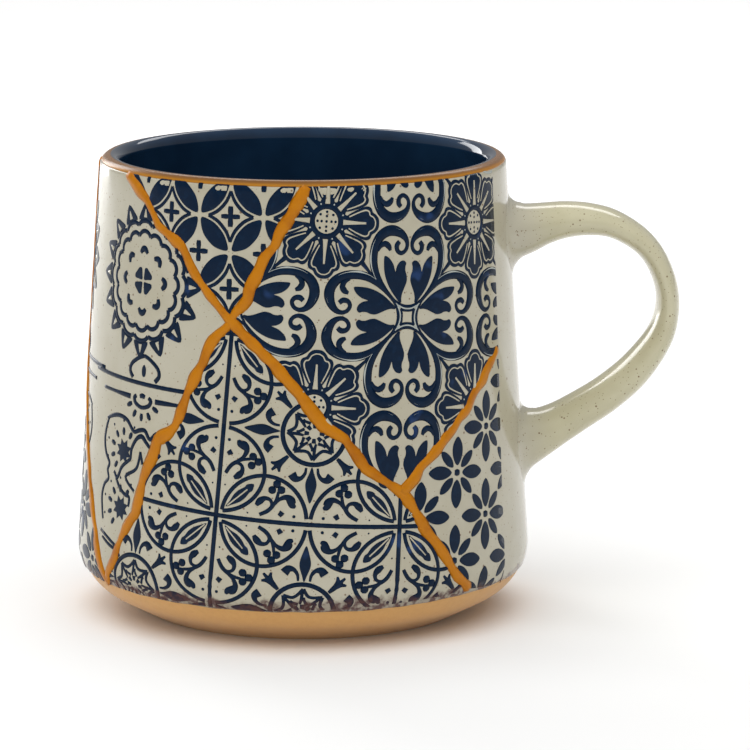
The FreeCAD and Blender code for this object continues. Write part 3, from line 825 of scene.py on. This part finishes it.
vine.stroke([(2.3, 0), (3.0, 0.9), (3.6, 1.2)], [0.5, 0.4, 0.3],
            [MEDALLION @ spin for spin in turned(8, start=22.5)], steps=3)
medal = [MEDALLION @ spin for spin in turned(8)]
vine.ring((19.3, 19.3), 6.6, 0.8)
vine.stroke([(5.6, 0), (4.5, 0.9), (3.85, 1.6), (3.6, 2.4), (3.96, 3.96)], [0.6, 0.52, 0.5, 0.52, 0.6], medal)
vine.stroke([(4.9, 0.2), (3.4, 0.25), (2.2, 0.5)], [0.45, 0.5, 0.3], medal)
vine.stroke([(1.1, 0), (2.1, 0)], [0.5, 0.8], medal, steps=3)
vine_patch = line_of(LOWER_LINE) + [flat(-10, 9.1)] + line_of(LONG_LINE[5:])[::-1][:-1]
vine_places = repeats((-18.3, 29.3), 38.6, 38.6, -4.0, range(-1, 3), range(-2, 2))

# Rosette pattern, in the patch away from the handle. A scalloped round flower in a toothed ring,
# and under it an arched bud, a ruled border and a wavy frame with stars.
rosette = Pattern()
eight = turned(8)
sixteen = turned(16)
rosette.leaf([(0.35, 0.35), (0.4, 1.5), (0.55, 2.6), (1.2, 2.75), (1.7, 2.3), (2.3, 1.75), (2.75, 1.2),
              (2.6, 0.55), (1.5, 0.4)], quarters)
rosette.stroke([(5.9, -1.15), (6.6, -0.6), (6.85, 0), (6.6, 0.6), (5.9, 1.15)], [0.7, 1.1, 1.2, 1.1, 0.7],
               eight, steps=3)
rosette.stroke([(9.45, -1.9), (10.3, -1.1), (10.6, 0), (10.3, 1.1), (9.45, 1.9)], [0.8] * 5, sixteen, steps=3)
rosette.stroke([(11.7, -2.3), (12.5, -1.3), (12.75, 0), (12.5, 1.3), (11.7, 2.3)], [0.8] * 5, sixteen,
               steps=3)
rosette.leaf([(12.9, -2.2), (14.7, -1.5), (16.6, 0), (14.7, 1.5), (12.9, 2.2), (13.3, 0)], sixteen)
rosette.stroke([(13.5, 0), (14.3, 0), (15.3, 0)], [1.1, 0.7, 0.05], sixteen, colour=2, steps=3)
rosette_places = [Matrix.Translation((-39.6, 76.8, 0)), Matrix.Translation((-79.1, 78.4, 0))]
border = Pattern()
mirror = Matrix.Scale(-1, 4, (1, 0, 0))
pair = [Matrix(), mirror]
border.stroke([(0, 61.0), (-1.9, 60.3), (-4.1, 58.8), (-4.6, 57.2), (-3.5, 55.9)],
              [0.7, 0.75, 0.8, 0.85, 0.9], pair)
border.leaf([(0, 59.0), (0.55, 58.2), (0.5, 57.0), (0, 56.5), (-0.5, 57.0), (-0.55, 58.2)])
border.line((-20, 55.1), (20, 54.85), 0.78)
border.stroke([(-3.9, 51.7), (-6.5, 51.75), (-10.0, 51.8), (-15.0, 51.8)], [1.0, 0.9, 0.62, 0.62], pair)
border.stroke([(-1.9, 52.2), (-2.6, 51.6), (-2.0, 50.5), (0, 49.9), (2.0, 50.5), (2.6, 51.6), (1.9, 52.2)],
              [0.7, 0.9, 0.8, 0.7, 0.8, 0.9, 0.7])
border.stroke([(-0.8, 52.2), (0, 52.4), (0.8, 52.2)], [0.7, 0.95, 0.7], steps=3)
for angle, near, far in ((-90, 3.3, 4.9), (-58, 3.4, 5.1), (-122, 3.4, 5.1), (-25, 3.6, 5.4),
                         (-155, 3.6, 5.4)):
    ray = Matrix.Translation((0, 51.9, 0)) @ Matrix.Rotation(math.radians(angle), 4, "Z")
    border.stroke([(near, 0), ((near + far) / 2, 0), (far, 0)], [0.55, 0.95, 0.5], [ray], steps=4)
border.stroke([(-12.6, 45.4), (-10.2, 46.4), (-7.6, 46.9), (-4.6, 46.4), (-2.2, 44.4), (-0.4, 44.9),
               (1.4, 45.1), (3.0, 43.5), (4.8, 44.9), (7.4, 45.2)],
              [0.5, 0.75, 0.8, 0.8, 0.75, 0.8, 0.8, 0.75, 0.8, 0.6])
border.stroke([(-11.9, 45.6), (-12.9, 43.2), (-13.3, 40.5), (-12.4, 37.9), (-10.6, 36.0), (-11.2, 34.4),
               (-10.6, 32.6), (-12.2, 31.1), (-13.1, 28.6), (-12.7, 25.8), (-12.0, 23.4)],
              [0.6, 0.75, 0.8, 0.8, 0.75, 0.7, 0.7, 0.75, 0.8, 0.75, 0.6])
for height in (39.6, 27.2):
    star = Matrix.Translation((-5.2, height, 0))
    tips = []
    for step in range(16):
        reach = 2.6 if step % 2 else 1.612
        around = math.radians(22.5 * step)
        tips.append((reach * math.cos(around), reach * math.sin(around)))
    border.leaf(tips, [star], steps=1)
    for angle in (60, 95, 130, 165, 200, 232):
        ray = star @ Matrix.Rotation(math.radians(angle), 4, "Z")
        border.stroke([(3.4, 0), (4.2, 0), (5.0, 0)], [0.5, 0.95, 0.5], [ray], steps=3)
        if angle < 220:
            border.dot((6.5, 0), 0.32, [ray])
border.stroke([(-8.4, 34.6), (-7.0, 33.5), (-5.6, 36.0), (-3.4, 37.8), (-2.7, 38.4), (-2.5, 40.6),
               (-1.0, 43.0), (0.6, 43.7), (2.0, 42.6), (3.8, 41.2)],
              [0.6, 0.75, 0.7, 0.7, 0.6, 0.7, 0.75, 0.9, 0.75, 0.6])
border.stroke([(-7.6, 33.5), (-6.0, 31.6), (-4.0, 30.4), (-2.4, 30.0), (-2.5, 28.0)],
              [0.6, 0.75, 0.7, 0.65, 0.5])
border.stroke([(0.4, 40.4), (-0.6, 36.6), (-4.0, 34.2), (-0.9, 31.6)], [0.5, 0.6, 0.65, 0.5])
border.stroke([(0.4, 40.4), (1.2, 37.8)], [0.5, 0.6], steps=3)
border.line((-12.6, 21.0), (-4.8, 18.2), 0.65)
border.stroke([(-11.8, 19.6), (-8.6, 18.4), (-6.2, 18.0)], [0.5, 0.65, 0.5])
rosette_patch = (line_of(LOWER_LINE)[::-1] + line_of(LONG_LINE[:6])[::-1][1:]
                 + [flat(-89, top_edge), flat(-89.8, 60.5)] + line_of(SIDE_LINE[:4])[::-1][:-1])

# Petal pattern, in the patches next to the handle and on the side away from it. Four-petalled
# flowers on a tilted grid, with a small bead at the heart of each.
petal = Pattern()
step_out = 9.4
petal.leaf([(1.6, 0), (2.5, 0.85), (4.2, 1.4), (6.1, 1.2), (7.6, 0), (6.1, -1.2), (4.2, -1.4),
            (2.5, -0.85)], quarters)
petal.leaf([(1.7, 0), (2.7, 0.75), (4.1, 0.95), (5.5, 0.65), (6.3, 0), (5.5, -0.65), (4.1, -0.95),
            (2.7, -0.75)], turned(4, start=45))
petal.stroke([(-0.7, 0), (0, 0), (0.7, 0)], [0.9, 1.3, 0.9])
petal_patch = (line_of(LONG_LINE[12:])[::-1] + line_of(BRANCH_LINE)[1:-1]
               + [flat(63.8, 60.2), flat(62, 35), flat(61.3, 9.6)])
petal_full_patch = (line_of(LONG_LINE[12:])[::-1] + line_of(BRANCH_LINE)[1:]
                    + [flat(degrees - BACK_TURN, height) for degrees, height in SIDE_LINE[:5][::-1]])
petal_spin = Matrix.Rotation(math.radians(-5.5), 4, "Z")
petal_places = []
for column in range(-6, 9):
    for row in range(-6, 9):
        if (column + row) % 2 == 0:
            shift = petal_spin @ Vector((step_out * column, step_out * row, 0))
            petal_places.append(Matrix.Translation(Vector((35.1, 36.4, 0)) + shift) @ petal_spin)

# The prints. Each patch between the raised lines is one transfer, cut to its outline and fired into
# the glaze. The back repeats the front, and petals fill what is left on the side away from the handle.
RULE_TILT = Matrix.Rotation(math.radians(-1.5), 4, "Z")
for side, turn in (("front", 0), ("back", BACK_TURN)):
    printed(side + "_lattice_print", lattice, lattice_places, lattice_patch, turn)
    printed(side + "_tulip_print", tulip, tulip_places, tulip_patch, turn)
    printed(side + "_vine_print", vine, vine_places, vine_patch, turn)
    both = Pattern()
    both.marks = [(mesh, points, [place @ spin for place in rosette_places for spin in turns])
                  for mesh, points, turns in rosette.marks]
    first = Matrix.Translation((-39.6, 0, 0)) @ RULE_TILT
    second = Matrix.Translation((-75.0, 1.6, 0)) @ RULE_TILT @ mirror
    both.marks += [(mesh, points, [place @ spin for place in (first, second) for spin in turns])
                   for mesh, points, turns in border.marks]
    printed(side + "_rosette_print", both, [Matrix()], rosette_patch, turn)
printed("front_petal_print", petal, petal_places, petal_patch)
printed("side_petal_print", petal, petal_places, petal_full_patch, BACK_TURN)
end_patch = [flat(64, 9.6)] + [flat(degrees - BACK_TURN, height) for degrees, height in SIDE_LINE[:5]]
printed("back_petal_print", petal, petal_places, end_patch, 2 * BACK_TURN)

# Studio. A pale floor in even white surroundings, with wide soft light from above and from the
# front; two soft boxes behind the mug give the glaze its glints.
floor_mesh = bpy.data.meshes.new("floor")
bm = bmesh.new()
bmesh.ops.create_grid(bm, x_segments=1, y_segments=1, size=4.0)
bm.to_mesh(floor_mesh)
bm.free()
floor = bpy.data.objects.new("floor", floor_mesh)
bpy.context.scene.collection.objects.link(floor)
paper = Shader("studio_paper", Base_Color=(0.93, 0.93, 0.925, 1), Roughness=0.9)
floor_mesh.materials.append(paper.material)


def soft_box(name, place, aim, width, height, power):
    """A rectangular soft light aimed at a point."""
    light = bpy.data.lights.new(name, "AREA")
    light.shape = "RECTANGLE"
    light.size, light.size_y = width, height
    light.energy = power
    lamp = bpy.data.objects.new(name, light)
    lamp.location = place
    lamp.rotation_euler = (Vector(aim) - Vector(place)).to_track_quat("-Z", "Y").to_euler()
    bpy.context.scene.collection.objects.link(lamp)


def soft_sun(name, rise, round_from_front, power, spread):
    """An even, very soft light from one direction that leaves no glint of its own."""
    light = bpy.data.lights.new(name, "SUN")
    light.energy = power
    light.angle = math.radians(spread)
    lamp = bpy.data.objects.new(name, light)
    lamp.rotation_euler = (math.radians(90 - rise), 0, math.radians(round_from_front))
    lamp.visible_glossy = False
    bpy.context.scene.collection.objects.link(lamp)


centre = (0, 0, 0.05)
soft_sun("overhead", 80, 0, 1.95, 80)
soft_sun("front_fill", 30, -25, 0.5, 70)
soft_box("left_box", (-0.5, 0.8, 0.3), centre, 0.3, 0.7, 3.0)
soft_box("back_box", (0.1, 0.9, 0.75), centre, 0.8, 0.25, 2.0)
world = bpy.data.worlds.new("studio")
bpy.context.scene.world = world
world.use_nodes = True
world.node_tree.nodes["Background"].inputs["Color"].default_value = (1, 1, 1, 1)
world.node_tree.nodes["Background"].inputs["Strength"].default_value = 0.36
bpy.context.scene.view_settings.view_transform = "Standard"

# Camera. A long lens a metre in front of the mug, looking a little down into it; the shift moves
# the mug to the left, so that the handle has room.
DISTANCE = 1.0454
RISE = math.radians(10.67)
camera_data = bpy.data.cameras.new("camera")
camera_data.lens = 229.2
camera_data.sensor_width = 36.0
camera_data.shift_x = 0.0955
camera_data.shift_y = 0.005
camera = bpy.data.objects.new("camera", camera_data)
camera.location = (0, -DISTANCE * math.cos(RISE), centre[2] + DISTANCE * math.sin(RISE))
camera.rotation_euler = (math.pi / 2 - RISE, 0, 0)
bpy.context.scene.collection.objects.link(camera)
bpy.context.scene.camera = camera
